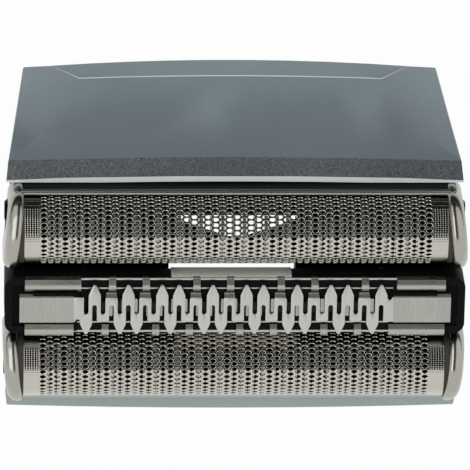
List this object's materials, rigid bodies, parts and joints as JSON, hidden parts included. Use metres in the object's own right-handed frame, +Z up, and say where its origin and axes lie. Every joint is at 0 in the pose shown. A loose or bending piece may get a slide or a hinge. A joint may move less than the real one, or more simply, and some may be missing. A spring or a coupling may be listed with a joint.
{
  "type": "shaver foil head",
  "caption": "Clip-on shaver foil cassette: arched perforated foils over lamella cutters either side of a floating trimmer comb, on a flared painted skirt.",
  "frame": {"origin": "middle of the rim plane that the skirt stands on", "axes": "+X along the foils, +Y towards the rear skirt panel, +Z up out of the foils"},
  "size_m": [0.058, 0.0448, 0.0273],
  "materials": {
    "skirt_paint": "silver blue-grey paint, soft satin",
    "black_plastic": "moulded black, matte",
    "plated_frame": "satin nickel plating",
    "foil_nickel": "bright nickel foil",
    "blade_steel": "ground steel",
    "trimmer_steel": "stamped stainless steel, satin",
    "spring_steel": "spring strip"
  },
  "bodies": {
    "cassette": {"housing": "skirt_paint", "chassis": "black_plastic", "rear_float_springs": "spring_steel", "front_float_springs": "spring_steel", "trimmer_springs": "spring_steel"},
    "rear_foil_unit": {"rear_foil_frame": "plated_frame", "rear_foil": "foil_nickel", "rear_cutter_cradle": "black_plastic", "rear_cutter_springs": "spring_steel"},
    "rear_cutter": {"rear_cutter_spine": "black_plastic", "rear_cutter_blades": "blade_steel"},
    "front_foil_unit": {"front_foil_frame": "plated_frame", "front_foil": "foil_nickel", "front_cutter_cradle": "black_plastic", "front_cutter_springs": "spring_steel"},
    "front_cutter": {"front_cutter_spine": "black_plastic", "front_cutter_blades": "blade_steel"},
    "trimmer_unit": {"trimmer_carrier": "black_plastic", "trimmer_guard": "trimmer_steel", "trimmer_comb": "trimmer_steel"},
    "trimmer_cutter": {"trimmer_blade": "blade_steel", "trimmer_driver": "black_plastic"}
  },
  "joints": [
    {"name": "rear_foil_float", "type": "slide", "parent": "cassette", "child": "rear_foil_unit", "axis": [0, 0, 1], "range_m": [-0.002, 0], "stiffness_N_per_m": 250, "springref_m": 0.003, "deforming": ["rear_float_springs"]},
    {"name": "front_foil_float", "type": "slide", "parent": "cassette", "child": "front_foil_unit", "axis": [0, 0, 1], "range_m": [-0.002, 0], "stiffness_N_per_m": 250, "springref_m": 0.003, "deforming": ["front_float_springs"]},
    {"name": "trimmer_float", "type": "slide", "parent": "cassette", "child": "trimmer_unit", "axis": [0, 0, 1], "range_m": [-0.0015, 0], "stiffness_N_per_m": 300, "springref_m": 0.003, "deforming": ["trimmer_springs"]},
    {"name": "rear_cutter_drive", "type": "slide", "parent": "rear_foil_unit", "child": "rear_cutter", "axis": [1, 0, 0], "range_m": [-0.0012, 0.0012]},
    {"name": "front_cutter_drive", "type": "slide", "parent": "front_foil_unit", "child": "front_cutter", "axis": [1, 0, 0], "range_m": [-0.0012, 0.0012]},
    {"name": "trimmer_blade_drive", "type": "slide", "parent": "trimmer_unit", "child": "trimmer_cutter", "axis": [1, 0, 0], "range_m": [-0.001, 0.001]}
  ]
}
